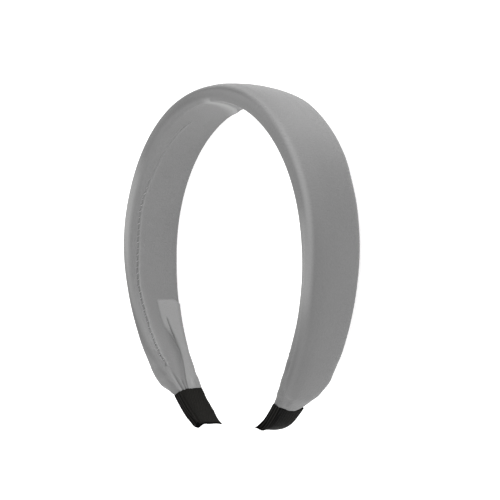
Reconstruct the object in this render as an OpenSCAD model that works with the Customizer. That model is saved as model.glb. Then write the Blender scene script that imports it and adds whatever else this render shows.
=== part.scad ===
// Padded headband: an arch of foam padding in a satin cover, with ribbon-bound ends.
// It lies on its long far edge. X runs across the arch, +Y points to the crown and
// Z runs along the width of the band, with the near edge on top. The origin is under
// the middle of the arch. Lengths are in millimetres and angles in degrees. The arch
// is drawn along the inner face that touches the head, in two arcs on each side.

/* [Arch of the inner face] */
// Radius over the crown and sides of the head
head_r = 66.5; // [58:0.5:76]
// Angle of the head's arc on each side of the crown
head_turn = 120; // [110:1:126]
// Radius of the lower arm, which is nearly straight
arm_r = 150; // [110:1:400]
// Length of the lower arm, from the head's arc to the tip
arm_l = 52.5; // [46:0.5:60]

/* [Padded band] */
// Width over the crown and sides
band_w = 28; // [22:0.5:40]
// Height of the side walls of the padding
wall_h = 8.2; // [6:0.1:12]
// Rise of the outer face above its shoulders
dome_h = 2.7; // [1:0.1:6]
// How far the rounded shoulder reaches across the outer face
shoulder_w = 3.6; // [2:0.1:6]
// How far the rounded shoulder reaches down the side wall
shoulder_h = 3.1; // [1.5:0.1:4]
// How far the foot of the side wall is drawn in by the cover
foot_w = 1.3; // [0.5:0.1:2.5]
// Height of the rounded foot of the side wall
foot_h = 1.6; // [1:0.1:2.5]

/* [Closing seam, tuck and gathers] */
// Width of the seam's groove
seam_w = 1.6; // [1:0.1:1.8]
// Depth of the seam's groove
seam_d = 0.7; // [0.3:0.1:1.2]
// Height of the folded edge of the tuck at each end of the cover
tuck_h = 0.8; // [0.3:0.1:1.2]
// Width of the folded edge of the tuck
tuck_w = 0.7; // [0.4:0.1:1.2]
// Height of the gathers where the cover runs into the ribbon
gather_h = 0.25; // [0.1:0.05:0.5]

/* [Ribbon tips] */
// Length of the left ribbon sleeve
left_ribbon_l = 20; // [14:0.5:28]
// Length of the right ribbon sleeve, which is wrapped shorter
right_ribbon_l = 14.5; // [12:0.5:28]
// Width at the mouth of the sleeve
mouth_w = 15; // [12:0.5:20]
// Thickness at the mouth of the sleeve
mouth_t = 4.9; // [4.2:0.1:6]
// Width at the tip, where the corners flare
tip_w = 16.4; // [12:0.1:21]
// Thickness at the pinched tip
tip_t = 2.6; // [2.4:0.1:4]
// Thickness of the doubled ribbon
ribbon_t = 1; // [0.8:0.1:1.1]
// Length of the tip where the ribbon is folded solid
fold_l = 6; // [4:0.5:8]
// Gap between the cover and the ribbon
gap = 0.2; // [0.1:0.05:0.25]

/* [Hidden] */

// Shape of one half of the padding, from the crown to the mouth of the ribbon.
// Columns: share of the padded length, then how far the width, the wall and the
// dome stand between the neck in the ribbon (0) and their full size (1)
BAND_SHAPE = [
    [0.000, 1.00, 0.60, 0.45],
    [0.240, 1.00, 1.00, 0.70],
    [0.490, 1.00, 0.75, 1.00],
    [0.570, 1.00, 0.50, 1.00],
    [0.690, 0.90, 0.20, 0.85],
    [0.840, 0.56, 0.75, 0.85],
    [0.940, 0.25, 0.65, 0.50],
    [0.975, 0.08, 0.20, 0.25],
    [1.000, 0.00, 0.00, 0.00]];

// Route of the closing seam on one half of the inner face.
// Columns: share of the padded length, share of the half width towards the near edge
SEAM_ROUTE = [
    [0.00, 0.12],
    [0.16, 0.30],
    [0.33, 0.48],
    [0.50, 0.62],
    [0.72, 0.69],
    [0.90, 0.79],
    [1.00, 0.62]];

// The folded edge of the tuck on one half of the inner face.
// Columns: share of the padded length, share of the half width towards the near
// edge (minus is towards the far edge), share of the tuck's height
TUCK_SHAPE = [
    [0.00, -0.15, 0.00],
    [0.71, -0.15, 0.00],
    [0.76, -0.16, 1.00],
    [0.88, -0.17, 1.00],
    [0.95, -0.02, 0.80],
    [1.00, 0.12, 0.00]];

// The cloth's slope from the far foot up to the folded edge.
// Columns: share of the way to the fold, share of the tuck's height
TUCK_FLANK = [
    [0.35, 0.35],
    [0.70, 0.75],
    [1.00, 1.00]];

// Shape of a ribbon sleeve, from its mouth to its tip.
// Columns: share of the ribbon's length, then how far the width and the thickness
// have changed from the mouth (0) to the tip (1)
RIBBON_SHAPE = [
    [0.00, 0.00, 0.00],
    [0.30, 0.00, 0.60],
    [0.80, 0.30, 0.90],
    [1.00, 1.00, 1.00]];

// Lengths along the inner face, on one side of the crown
head_l = head_r * head_turn * PI / 180;
half_l = head_l + arm_l;

// Share of the padded length with wide ring spacing, and the rings along each stretch
plain_share = 0.64;
plain_rings = 25;
shaped_rings = 27;
tongue_rings = 4;
sleeve_rings = 7;

// Steps round a section: its foot, shoulder and top, and the whole of a ribbon's
foot_steps = 3;
shoulder_steps = 4;
top_steps = 6;
ring_points = 32;

// Roundness of the ribbon's section: 2 is an ellipse, and more is squarer
ribbon_power = 5;

// Share of the padded length that the gathers take up, above the ribbon
gather_share = 0.07;

// Share of the tuck's height by which the cover sinks beside the fold
tuck_sink = 0.2;

// Highest and lowest points of the arch, which centre it on the origin
tip_turn = turn_at(half_l);
top_y = wall_at(0) + dome_at(0);
low_y = inner_point(half_l).y + tip_t * cos(tip_turn);
mid_y = (top_y + low_y) / 2;

function between(a, b, share) = a + (b - a) * share;

// Value of one column of a table at x, on a smooth curve that doesn't overshoot its rows
function row_before(table, x, i = 0) =
    i >= len(table) - 2 || x < table[i + 1][0] ? i : row_before(table, x, i + 1);
function rise(table, column, i) =
    (table[i + 1][column] - table[i][column]) / (table[i + 1][0] - table[i][0]);
function slope(table, column, i) =
    i == 0 ? 0
    : i == len(table) - 1 ? rise(table, column, i - 1)
    : let (before = rise(table, column, i - 1), after = rise(table, column, i))
      before * after <= 0 ? 0 : 2 * before * after / (before + after);
function smooth_lookup(table, column, x) =
    let (i = row_before(table, x),
         span = table[i + 1][0] - table[i][0],
         t = min(1, (x - table[i][0]) / span))
    table[i][column] * (1 + 2 * t) * pow(1 - t, 2)
    + slope(table, column, i) * span * t * pow(1 - t, 2)
    + table[i + 1][column] * t * t * (3 - 2 * t)
    + slope(table, column, i + 1) * span * t * t * (t - 1);

// Angle turned after length s from the crown
function turn_at(s) =
    s < head_l ? s / head_r * 180 / PI : head_turn + (s - head_l) / arm_r * 180 / PI;

// Point of the inner face after length s, measured from the crown
function arc_step(r, from, to) = r * [sin(to) - sin(from), cos(to) - cos(from)];
function inner_point(s) =
    let (turn = turn_at(s))
    arc_step(head_r, 0, min(turn, head_turn)) + arc_step(arm_r, head_turn, max(turn, head_turn));

// A point of the headband: s along the arch (minus on the left), u from the middle of
// the width towards the near edge, v outwards from the inner face
function place(s, u, v) =
    let (p = inner_point(abs(s)), turn = turn_at(abs(s)))
    [sign(s) * (p.x + v * sin(turn)), p.y + v * cos(turn) - mid_y, band_w / 2 + u];
function placed(s, section) = [for (p = section) place(s, p.x, p.y)];

// Sizes of the padding at a share of the padded length
function width_at(share) = between(mouth_w, band_w, smooth_lookup(BAND_SHAPE, 1, share));
function wall_at(share) = between(mouth_t, wall_h, smooth_lookup(BAND_SHAPE, 2, share));
function dome_at(share) = dome_h * smooth_lookup(BAND_SHAPE, 3, share);
function gather_at(share) = gather_h * sin(180 * max(0, 1 - (1 - share) / gather_share));

// Near side of the padding's section: the rounded foot, then the rounded shoulder
function near_foot(w, foot_in) =
    [for (a = [0 : 90 / foot_steps : 90])
        [w / 2 - foot_in * (1 - sin(a)), foot_h * (1 - cos(a))]];
function near_shoulder(w, wall, shoulder_in) =
    [for (a = [0 : 90 / shoulder_steps : 90])
        [w / 2 - shoulder_in * (1 - cos(a)), wall - shoulder_h * (1 - sin(a))]];
function flat_top(w, wall, shoulder_in) =
    [for (i = [1 : top_steps - 1])
        [(w / 2 - shoulder_in) * (1 - 2 * i / top_steps), wall]];
function far_copy(points) =
    [for (i = [len(points) - 1 : -1 : 0]) [-points[i].x, points[i].y]];

// The outer face rises to a dome, with a ripple of height gather across it
function domed(points, w, dome, gather) =
    [for (i = [0 : len(points) - 1])
        let (p = points[i], crown = 1 - pow(2 * p.x / w, 2), ripple = i % 2 == 0 ? -1 : 1)
        [p.x, p.y + (dome + gather * ripple) * crown]];

// Inner face from the far foot to the near foot, with the tuck and the seam's groove
function inner_face(share, w, foot_in) =
    let (edge = w / 2 - foot_in,
         fold = w / 2 * smooth_lookup(TUCK_SHAPE, 1, share),
         height = tuck_h * smooth_lookup(TUCK_SHAPE, 2, share),
         far_lip = fold - tuck_w / 2,
         near_lip = fold + tuck_w / 2,
         seam = w / 2 * smooth_lookup(SEAM_ROUTE, 1, share),
         gather = gather_at(share),
         far_side = seam - seam_w / 2,
         near_side = seam + seam_w / 2)
    [for (i = [0 : len(TUCK_FLANK) - 1])
        [between(-edge, far_lip, TUCK_FLANK[i][0]),
         (i % 2 == 0 ? gather : -gather) - height * TUCK_FLANK[i][1]],
     [near_lip, height * tuck_sink],
     [(near_lip + far_side) / 2, -gather],
     [far_side, 0],
     [seam, seam_d],
     [near_side, 0],
     [(near_side + edge) / 2, -gather]];

function band_section(share) =
    let (w = width_at(share),
         wall = wall_at(share),
         foot_in = foot_w * w / band_w,
         shoulder_in = shoulder_w * w / band_w,
         foot = near_foot(w, foot_in),
         shoulder = near_shoulder(w, wall, shoulder_in),
         top = concat(shoulder, flat_top(w, wall, shoulder_in), far_copy(shoulder)))
    concat(foot,
           domed(top, w, dome_at(share), gather_at(share)),
           far_copy(foot),
           inner_face(share, w, foot_in));

// Section of the ribbon, shrunk by inset on every side
function signed_power(x, power) = sign(x) * pow(abs(x), power);
function ribbon_section(share, inset) =
    let (w = between(mouth_w, tip_w, smooth_lookup(RIBBON_SHAPE, 1, share)),
         t = between(mouth_t, tip_t, smooth_lookup(RIBBON_SHAPE, 2, share)))
    [for (i = [0 : ring_points - 1])
        let (a = 360 * i / ring_points - 45)
        [(w / 2 - inset) * signed_power(cos(a), 2 / ribbon_power),
         t / 2 + (t / 2 - inset) * signed_power(sin(a), 2 / ribbon_power)]];

// A closed solid through rings of points, with a fan of triangles at each end
function average(points) = [for (p = points) 1] * points / len(points);
module skin(rings) {
    n = len(rings[0]);
    last = len(rings) - 1;
    centres = [average(rings[0]), average(rings[last])];
    first_centre = n * len(rings);
    sides = [
        for (k = [0 : last - 1], j = [0 : n - 1])
            let (a = k * n + j, b = k * n + (j + 1) % n)
            each [[a, b, b + n], [a, b + n, a + n]]];
    ends = [
        for (j = [0 : n - 1])
            let (next = (j + 1) % n)
            each [[first_centre, next, j], [first_centre + 1, last * n + j, last * n + next]]];
    polyhedron(points = concat([for (ring = rings) each ring], centres),
               faces = concat(sides, ends));
}

// Lengths from the crown and the sections there, down one half of the band to the end of
// the tongue that its ribbon binds
function half_band(ribbon_l) =
    let (end_l = half_l - ribbon_l - gap,
         tongue_l = ribbon_l - fold_l,
         shares = concat(
             [for (i = [0 : plain_rings - 1]) plain_share * i / plain_rings],
             [for (i = [0 : shaped_rings]) between(plain_share, 1, i / shaped_rings)]))
    concat(
        [for (share = shares) [share * end_l, band_section(share)]],
        [for (i = [0 : tongue_rings])
            let (l = tongue_l * i / tongue_rings)
            [end_l + l, ribbon_section(max(0, l - gap) / ribbon_l, ribbon_t + gap)]]);

// Satin cover and foam as one padded form, with a tongue at each end for the ribbon
module padded_band() {
    left = half_band(left_ribbon_l);
    right = half_band(right_ribbon_l);
    color([0.56, 0.56, 0.56]) skin(concat(
        [for (i = [len(left) - 1 : -1 : 0]) placed(-left[i][0], left[i][1])],
        [for (i = [1 : len(right) - 1]) placed(right[i][0], right[i][1])]));
}

// Grosgrain ribbon sleeve on a right arm, open at its mouth and folded solid at its tip
module ribbon_sleeve(ribbon_l) {
    cavity_l = ribbon_l - fold_l;
    mouth = half_l - ribbon_l;
    cavity = [
        for (i = [sleeve_rings : -1 : 0])
            let (l = cavity_l * i / sleeve_rings)
            placed(mouth + l, ribbon_section(l / ribbon_l, ribbon_t))];
    outside = [
        for (i = [0 : sleeve_rings])
            let (l = ribbon_l * i / sleeve_rings)
            placed(mouth + l, ribbon_section(l / ribbon_l, 0))];
    color([0.1, 0.1, 0.09]) skin(concat(cavity, outside));
}

// Ribbon sleeve of the left arm
module ribbon_tip_left() {
    mirror([1, 0, 0]) ribbon_sleeve(left_ribbon_l);
}

// Ribbon sleeve of the right arm
module ribbon_tip_right() {
    ribbon_sleeve(right_ribbon_l);
}

padded_band();
ribbon_tip_left();
ribbon_tip_right();
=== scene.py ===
import math

import bpy
import numpy as np
from mathutils import Matrix, Vector


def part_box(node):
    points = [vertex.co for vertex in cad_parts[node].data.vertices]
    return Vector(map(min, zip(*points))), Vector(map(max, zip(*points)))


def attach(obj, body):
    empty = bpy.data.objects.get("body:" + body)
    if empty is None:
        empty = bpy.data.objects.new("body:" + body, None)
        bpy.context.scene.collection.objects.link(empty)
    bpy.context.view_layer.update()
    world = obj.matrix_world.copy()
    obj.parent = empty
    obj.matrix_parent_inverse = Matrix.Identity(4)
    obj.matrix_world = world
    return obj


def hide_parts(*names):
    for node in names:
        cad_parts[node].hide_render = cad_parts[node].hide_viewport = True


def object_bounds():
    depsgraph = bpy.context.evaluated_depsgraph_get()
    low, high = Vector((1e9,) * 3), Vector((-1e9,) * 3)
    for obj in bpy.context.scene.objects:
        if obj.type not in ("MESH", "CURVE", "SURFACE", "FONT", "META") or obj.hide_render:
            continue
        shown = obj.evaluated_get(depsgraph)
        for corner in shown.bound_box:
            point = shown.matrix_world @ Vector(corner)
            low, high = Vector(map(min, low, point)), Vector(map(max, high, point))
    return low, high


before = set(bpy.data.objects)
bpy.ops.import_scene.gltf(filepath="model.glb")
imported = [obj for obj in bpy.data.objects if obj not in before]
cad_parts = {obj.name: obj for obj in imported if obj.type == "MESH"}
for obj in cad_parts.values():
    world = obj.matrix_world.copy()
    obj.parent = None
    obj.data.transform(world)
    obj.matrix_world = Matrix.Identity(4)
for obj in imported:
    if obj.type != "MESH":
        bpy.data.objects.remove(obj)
cad_low, cad_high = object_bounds()
mm = 0.001

# Satin cover over foam
# The band is a stiff strip with foam glued over it, wrapped in one piece of grey satin.
# The cloth is pulled tight round the foam, tucked into a fold near each end, gathered in
# where the ribbons bind it, and closed by hand along the inner face.

# The arch of the inner face: round over the head, then a nearly straight arm
HEAD_RADIUS = 66.5 * mm
HEAD_TURN = math.radians(120)
ARM_RADIUS = 150 * mm
ARM_LENGTH = 52.5 * mm
HEAD_LENGTH = HEAD_RADIUS * HEAD_TURN
HALF_LENGTH = HEAD_LENGTH + ARM_LENGTH
RIBBON_LENGTH = {-1: 20 * mm, 1: 14.5 * mm}
PADDED_LENGTH = {side: HALF_LENGTH - RIBBON_LENGTH[side] for side in (-1, 1)}

# Share of the padded length, then how far the near and the far edge stand from the band's
# middle line, on the left arm and on the right arm, in millimetres
EDGES = [
    (0.000, 14.0, 14.0, 14.0, 14.0),
    (0.570, 14.0, 14.0, 14.0, 14.0),
    (0.690, 13.6, 13.1, 13.4, 13.4),
    (0.790, 12.2, 11.4, 12.0, 12.3),
    (0.860, 11.3, 10.0, 11.1, 11.6),
    (0.900, 10.8, 9.3, 10.3, 11.3),
    (0.930, 9.8, 8.8, 9.4, 9.2),
    (0.960, 8.7, 8.2, 8.3, 7.0),
    (0.985, 7.3, 7.5, 7.2, 6.1),
    (1.000, 6.1, 7.1, 6.8, 6.0),
]

# Share of the padded length, then the height of the side walls and of the dome over them,
# and how much the far wall is taller and the near wall lower than that, in millimetres
HEIGHTS = [
    (0.000, 6.5, 1.2, -0.3),
    (0.120, 6.9, 1.5, -0.3),
    (0.190, 7.4, 1.7, 0.1),
    (0.240, 7.7, 1.9, 0.4),
    (0.400, 7.5, 2.4, 0.5),
    (0.490, 7.2, 2.7, 0.2),
    (0.570, 6.5, 2.7, 0.0),
    (0.690, 5.5, 2.3, 0.0),
    (0.840, 7.2, 2.3, 0.0),
    (0.940, 7.0, 1.4, 0.0),
    (0.975, 5.5, 0.7, 0.0),
    (1.000, 4.7, 0.0, 0.0),
]

# Share of the padded length, then the reach and the drop of the far shoulder, on the left
# arm and on the right arm, in millimetres
FAR_SHOULDER = [
    (0.00, 3.8, 3.2, 3.8, 3.2),
    (0.34, 3.8, 3.2, 3.0, 2.5),
    (0.40, 3.8, 3.2, 3.7, 3.1),
    (0.47, 3.8, 3.2, 6.4, 4.8),
    (0.57, 3.8, 3.2, 6.8, 4.9),
    (0.66, 3.8, 3.2, 4.8, 3.9),
    (0.72, 3.8, 3.2, 3.8, 3.2),
    (1.00, 3.8, 3.2, 3.8, 3.2),
]

# Share of the padded length, then the reach and the drop of the near shoulder, a crisp
# ridge over the head that rounds off down the arms, and the reach of the near foot on the
# left arm and on the right arm, in millimetres
NEAR_SIDE = [
    (0.00, 1.6, 1.4, 1.9, 1.9),
    (0.08, 1.6, 1.4, 1.9, 1.0),
    (0.30, 1.8, 1.6, 1.9, 0.7),
    (0.50, 2.6, 2.2, 1.9, 0.7),
    (0.70, 5.0, 3.2, 1.9, 1.1),
    (0.86, 4.6, 3.4, 1.9, 1.1),
    (0.94, 3.4, 2.6, 1.7, 0.9),
    (1.00, 1.8, 1.1, 1.0, 0.6),
]

# How far the near wall leans out at its foot and how fast that fades up the wall, how far
# the far foot is drawn in, the height of both feet, half of the full width, and the
# thickness inside the ribbon's mouth
WALL_SPLAY = 0.5 * mm
SPLAY_CURVE = 1.3
FAR_FOOT = 1.2 * mm
FOOT_RISE = 1.9 * mm
FULL_HALF = 14 * mm
NECK_HEIGHT = 4.7 * mm

# Share of the width from the near to the far edge, then how far the ribbon's mouth reaches
# towards the tip on the inner and on the outer face, in millimetres: left arm, then right
MOUTH_BOW = [
    (0.00, 0.0, -1.6, 0.1, -2.1),
    (0.15, -0.7, -1.1, -0.3, -1.6),
    (0.45, -1.5, -0.3, -0.4, -0.4),
    (0.72, -1.7, -0.2, -0.4, 0.0),
    (1.00, -1.7, -0.6, -0.3, -0.8),
]

# Shares of the padded length over which the cover takes up the bow of the ribbon's mouth
BOW_BEGINS = (0.9, 1.0)


def smooth_lookup(table, column, x):
    """One column of a table at x, on a smooth curve that doesn't overshoot its rows."""
    rows = np.array(table, float)
    at, value = rows[:, 0], rows[:, column]
    rise = np.diff(value) / np.diff(at)
    before, after = rise[:-1], rise[1:]
    slope = np.zeros(len(at))
    same_way = before * after > 0
    slope[1:-1][same_way] = 2 * (before * after)[same_way] / (before + after)[same_way]
    slope[-1] = rise[-1]
    i = np.clip(np.searchsorted(at, x, side="right") - 1, 0, len(at) - 2)
    length = at[i + 1] - at[i]
    t = np.clip((x - at[i]) / length, 0, 1)
    return (
        value[i] * (1 + 2 * t) * (1 - t) ** 2
        + slope[i] * length * t * (1 - t) ** 2
        + value[i + 1] * t * t * (3 - 2 * t)
        + slope[i + 1] * length * t * t * (t - 1)
    )


def of_arm(table, left_column, right_column, s, share):
    """A table's value at a share, from the left arm's column where s is below 0."""
    left = smooth_lookup(table, left_column, share)
    right = smooth_lookup(table, right_column, share)
    return np.where(s < 0, left, right)


def between(start, end, share):
    """The value at a share of the way from start to end."""
    return start + (end - start) * share


def smooth_step(x, low, high):
    """A smooth rise from 0 at low to 1 at high."""
    t = np.clip((x - low) / (high - low), 0, 1)
    return t * t * (3 - 2 * t)


def bell(x, width):
    """A rounded bump, 1 at x = 0 and nearly 0 beyond twice its width."""
    return np.exp(-((x / width) ** 2))


band_low, band_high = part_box("padded_band")
EDGE_MIDDLE = (band_low.z + band_high.z) / 2
CROWN_HEIGHT = 8.0 * mm
CROWN = band_high.y - CROWN_HEIGHT


def place(s, u, v):
    """Points at s along the arch (minus on the left), u towards the near edge, v outwards."""
    s, u, v = np.broadcast_arrays(s, u, v)
    length = np.abs(s)
    on_arm = HEAD_TURN + (length - HEAD_LENGTH) / ARM_RADIUS
    turn = np.where(length < HEAD_LENGTH, length / HEAD_RADIUS, on_arm)
    head = np.minimum(turn, HEAD_TURN)
    arm = np.maximum(turn, HEAD_TURN)
    across = HEAD_RADIUS * np.sin(head) + ARM_RADIUS * (np.sin(arm) - math.sin(HEAD_TURN))
    up = HEAD_RADIUS * (np.cos(head) - 1) + ARM_RADIUS * (np.cos(arm) - math.cos(HEAD_TURN))
    x = np.where(s < 0, -1, 1) * (across + v * np.sin(turn))
    return np.stack([x, CROWN + up + v * np.cos(turn), EDGE_MIDDLE + u], -1)


def padded_length(s):
    """Length from the crown to the ribbon's mouth, on the arm that s lies on."""
    return np.where(s < 0, PADDED_LENGTH[-1], PADDED_LENGTH[1])


def share_of(s):
    """Share of the padded length at s, 0 at the crown and 1 at the ribbon's mouth."""
    return np.minimum(np.abs(s) / padded_length(s), 1)


def edges_at(s):
    """How far the near and the far edge stand from the band's middle line at s, in metres."""
    share = share_of(s)
    return of_arm(EDGES, 1, 3, s, share) * mm, of_arm(EDGES, 2, 4, s, share) * mm


# Route of the closing seam: share of the padded length, millimetres from the middle line
# towards the near edge, and how hard the stitches pull
SEAM = [
    (0.000, 1.2, 0.00),
    (0.120, 3.6, 0.00),
    (0.155, 4.5, 0.60),
    (0.200, 5.6, 0.30),
    (0.320, 7.1, 0.30),
    (0.440, 9.1, 0.60),
    (0.560, 8.6, 0.75),
    (0.650, 9.1, 1.00),
    (0.736, 8.1, 1.00),
    (0.860, 7.4, 1.00),
    (0.905, 6.3, 0.90),
    (0.920, 6.0, 0.20),
    (1.000, 5.0, 0.00),
]
SEAM_DEPTH = 0.7 * mm
SEAM_WIDTH = 0.34 * mm
STITCH_PITCH = 3.0 * mm

# What share of its depth the groove keeps between two stitches, how much the puckers of its
# lips lean, and what share of its height each lip has between two stitches and beside one
SHALLOWEST = 0.35
PUCKER_LEAN = 0.7
NEAR_PUCKER = (1.1, 0.75)
FAR_PUCKER = (0.5, 1.0)

# The lips of cloth beside the seam: how far from it towards the near edge, width and height
NEAR_LIP = (1.0 * mm, 0.6 * mm, 0.34 * mm)
FAR_LIP = (-0.85 * mm, 0.5 * mm, 0.24 * mm)

# The seam's waver: millimetres to either side, millimetres to each radian, and its start
WAVER = [(0.10, 1.15, 0.0), (0.08, 0.43, 1.0)]

# The tuck near each end: share of the padded length, millimetres from the middle line to
# the edge of the lifted cloth and to its crease, how far it lifts and how deep the crease is
TUCK = [
    (0.700, 0.1, -3.0, 0.0, 0.0),
    (0.707, 0.1, -3.0, 1.0, 0.0),
    (0.752, 0.0, -3.1, 1.0, 0.0),
    (0.764, -0.1, -3.2, 1.0, 1.0),
    (0.780, -0.4, -3.4, 1.0, 1.0),
    (0.800, -1.5, -3.6, 1.0, 0.9),
    (0.815, -2.3, -3.8, 1.0, 0.8),
    (0.845, -3.7, -4.0, 1.0, 0.4),
    (0.860, -4.3, -4.2, 1.0, 0.2),
    (0.920, -2.6, -2.5, 0.9, 0.1),
    (0.977, -0.3, -0.1, 0.8, 0.3),
    (1.000, 0.4, 0.6, 0.6, 0.3),
]

# How much nearer to the ribbon the tuck begins at the far edge, as a share of the padded
# length, and how far from the middle line that sets in; how far the cloth lifts, how wide
# its raised edge is and what share of the lift it takes; the crease's depth and width
TUCK_SLANT = 0.016
SLANTED = (8 * mm, 13.5 * mm)
TUCK_LIFT = 1.0 * mm
TUCK_EDGE = 0.35 * mm
EDGE_LIFT = 0.4
CREASE_DEPTH = 0.6 * mm
CREASE_WIDTH = 0.32 * mm

# Shares of the padded length over which the lifted edge begins and ends to roll over, and
# how far beyond the crease its painted light begins there
ROLL_BEGINS = (0.775, 0.825)
ROLL_ENDS = (0.845, 0.875)
ROLLED_PAINTED_LIGHT_BEGINS = (-0.3 * mm, 1.8 * mm)

# Small folds of the inner face: share of the padded length and millimetres from the middle
# line at both ends, then the width and the height in millimetres, minus for a crease
FOLDS = [
    (0.912, 6.2, 1.000, 4.8, 0.80, 0.50),
    (0.925, 4.4, 1.000, 3.7, 0.50, -0.40),
    (0.945, 2.9, 1.000, 2.7, 0.55, 0.45),
    (0.955, 1.4, 1.000, 1.7, 0.35, -0.35),
    (0.955, -3.4, 1.000, -1.8, 0.60, 0.30),
    (0.965, -5.0, 1.000, -4.2, 0.45, -0.25),
    (0.906, 6.2, 0.899, 4.5, 0.32, 0.45),
    (0.906, 6.2, 0.917, 4.2, 0.32, 0.40),
    (0.906, 6.2, 0.888, 8.2, 0.36, 0.40),
    (0.870, 7.0, 0.852, 9.9, 0.38, 0.42),
]

# Shares of its own length over which each fold rises
FOLD_RISES = (-0.15, 0.5)

# The crosswise wave beside the crown: millimetres from the middle line, then how far its
# crisp edge lies to the left of the crown, in millimetres
WAVE_EDGE = [
    (-14.0, 8.0),
    (-7.6, 2.5),
    (2.2, -4.1),
    (10.0, -7.5),
    (14.0, -8.0),
]
WAVE_HEIGHT = 0.45 * mm
WAVE_RISE = 0.7 * mm
WAVE_CREST = 0.6 * mm
WAVE_LENGTH = 9 * mm

# How much lighter the satin's colour is painted, minus for darker, as painted light and shade:
# all over the inner face, lightened against its real shade, more near the crown, then on each
# feature of it: painted highlights on the wave, the lifted cloth, the fold ridges, the seam's
# lips and beside the seam, and painted shade at the far edge, in the crease and beside it, on
# the near strip, in the fold creases and in the seam's groove
INSIDE_PAINTED_LIGHT = 0.85
CROWN_PAINTED_LIGHT = 0.3
CROWN_SPREAD = 18 * mm
WAVE_PAINTED_HIGHLIGHT = 2.6
LIFTED_PAINTED_HIGHLIGHT = 1.5
FAR_EDGE_PAINTED_SHADE = -0.8
CREASE_PAINTED_SHADE = -1.4
BESIDE_CREASE_PAINTED_SHADE = -0.6
NEAR_STRIP_PAINTED_SHADE = -0.6
FOLD_PAINTED_LIGHT = 1.6
GROOVE_PAINTED_SHADE = -0.6
NEAR_LIP_PAINTED_HIGHLIGHT = 0.1
FAR_LIP_PAINTED_HIGHLIGHT = 0.7
FAR_LIP_SLANT_PAINTED_HIGHLIGHT = 0.5
BESIDE_SEAM_PAINTED_LIGHT = 0.3
PAINTED_LIGHT_RANGE = (-1.5, 4.5)

# Where some of those features lie: the width of the strip at the far edge; how far from the
# crease and from the seam the cloth beside them lies, and how wide it is; and how far from
# the middle line the near strip begins
FAR_EDGE_STRIP = 1.8 * mm
BESIDE_CREASE = (1.4 * mm, 1.6 * mm)
BESIDE_SEAM = (-1.6 * mm, 1.2 * mm)
NEAR_STRIP_FROM = (1 * mm, 5 * mm)

# Shares of the padded length over which two of them fade in
BESIDE_CREASE_FADES = (0.76, 0.84)
NEAR_STRIP_FADES = (0.82, 0.92)

# Share of the padded length, then how much lighter the colour is painted, minus for painted
# shade, on the near wall and on the near shoulder of the left arm, and on those of the right arm
NEAR_PAINTED_LIGHT = [
    (0.00, 0.7, -0.7, 0.7, -0.7),
    (0.15, 0.9, -0.1, 0.6, -0.7),
    (0.27, 0.3, 0.1, 0.4, 0.0),
    (0.33, 0.9, 1.0, 0.2, 0.6),
    (0.38, 2.0, 2.0, 0.2, 1.1),
    (0.50, 2.5, 2.4, 0.1, 1.4),
    (0.56, 2.7, 1.9, 1.1, 1.5),
    (0.68, 1.7, 0.5, 1.9, 1.5),
    (0.78, 0.8, -0.2, 0.4, 0.3),
    (0.88, 0.1, 0.5, -0.2, 0.3),
    (0.94, 0.1, 0.9, -0.1, 0.3),
    (1.00, 0.4, 0.3, -0.1, 0.2),
]

# Shares of the wall's height over which the wall's painted light gives way to the shoulder's,
# on the left arm and on the right arm, and how far to each side of the crown the two arms blend
LEFT_SHOULDER_PAINTED_LIGHT = (0.0, 0.5)
RIGHT_SHOULDER_PAINTED_LIGHT = (0.68, 0.9)
ARMS_BLEND = 30 * mm

# Share of the padded length, then how much lighter the colour is painted, minus for painted
# shade, on the outer face, beside its near edge and on the rest: darker over the crown
OUTER_PAINTED_LIGHT = [
    (0.00, -0.95, -0.75),
    (0.12, -0.90, -0.70),
    (0.20, -0.68, -0.40),
    (0.27, -0.35, -0.05),
    (0.34, 0.05, 0.15),
    (0.40, 0.10, 0.00),
    (0.45, 0.05, -0.20),
    (0.51, -0.05, -0.25),
    (0.60, -0.10, -0.10),
    (1.00, 0.00, 0.00),
]

# How far from the middle line the painted light beside the outer face's near edge begins, and
# how far in from the near edge the outer face does
OUTER_NEAR_FROM = (2 * mm, 12 * mm)
OUTER_FACE_FROM = (0.8 * mm, 2.5 * mm)

# Spacing of the cover's rings over the head and on the arms, the tongue that goes up inside
# the ribbon, and the points of a section, stretch by stretch
HEAD_RING = 0.9 * mm
ARM_RING = 0.45 * mm
ARM_FROM = 0.66
TONGUE_RINGS = 8
TONGUE_LENGTH = 4 * mm
TONGUE_INSET = 1.1 * mm
TONGUE_STEP = 0.9 * mm
FOOT_POINTS = 6
WALL_POINTS = 6
SHOULDER_POINTS = 9
TOP_POINTS = 27
FLANK_POINTS = 16
TUCK_POINTS = 22
MIDDLE_POINTS = 13
SEAM_POINTS = 22
STRIP_POINTS = 6

# How far the closer points about the crease reach towards the near edge, what share of that
# they reach towards the far edge, and how far those about the seam reach to both sides
TUCK_ZONE = 2.2 * mm
TUCK_ZONE_FAR = 0.6
SEAM_ZONE = 1.9 * mm


def steps(start, end, count):
    """count values for each ring, from start up to just before end."""
    return between(np.asarray(start)[:, None], np.asarray(end)[:, None], np.arange(count) / count)


def seam_route(s, share):
    """Where the seam runs, a little unevenly as hand stitches pull it."""
    waver = sum(reach * np.sin(s / (pitch * mm) + start) for reach, pitch, start in WAVER)
    return (smooth_lookup(SEAM, 1, share) + waver) * mm


def fold_relief(s, share, u):
    """Height of the small folds of the inner face."""
    length = padded_length(s)
    total = np.zeros(u.shape)
    for start, start_u, end, end_u, width, height in FOLDS:
        along = (end - start) * length
        across = (end_u - start_u) * mm
        dx, dy = (share - start) * length, u - start_u * mm
        t = (dx * along + dy * across) / (along ** 2 + across ** 2)
        near = np.clip(t, 0, 1)
        off = np.hypot(dx - near * along, dy - near * across)
        total = total + height * mm * bell(off, width * mm) * smooth_step(t, *FOLD_RISES)
    return total


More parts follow.
